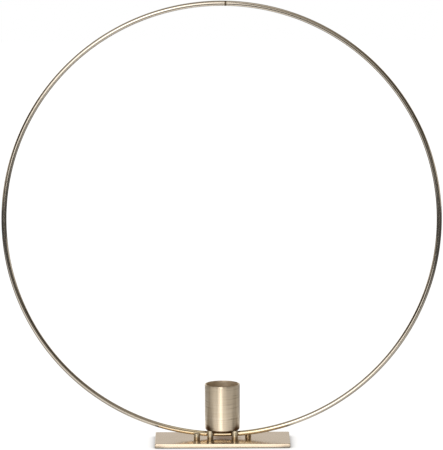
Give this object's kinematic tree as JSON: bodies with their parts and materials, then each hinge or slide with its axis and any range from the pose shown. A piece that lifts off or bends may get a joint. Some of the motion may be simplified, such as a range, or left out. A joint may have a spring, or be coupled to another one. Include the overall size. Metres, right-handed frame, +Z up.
{
  "type": "candle ring",
  "caption": "Upright open hoop of round metal rod on a flat rectangular foot, with a cylindrical cup on short legs inside its base that holds a dinner candle.",
  "frame": {"origin": "middle of the foot plate's underside, where the object stands", "axes": "+Z up; the hoop lies in the XZ plane, so X runs along the foot plate and -Y is the front"},
  "size_m": [0.3, 0.04, 0.3039],
  "materials": {
    "plate_brass": "polished pale brass, lacquered",
    "rod_brass": "polished pale brass rod, lacquered",
    "cup_brass": "satin pale brass with fine turning lines round the wall",
    "stud_brass": "polished pale brass"
  },
  "bodies": {
    "root": {"base_plate": "plate_brass", "hoop_rod": "rod_brass", "candle_cup": "cup_brass", "cup_leg_front_left": "stud_brass", "cup_leg_front_right": "stud_brass", "cup_leg_rear_left": "stud_brass", "cup_leg_rear_right": "stud_brass", "hoop_peg_front": "stud_brass", "hoop_peg_rear": "stud_brass"}
  },
  "joints": []
}
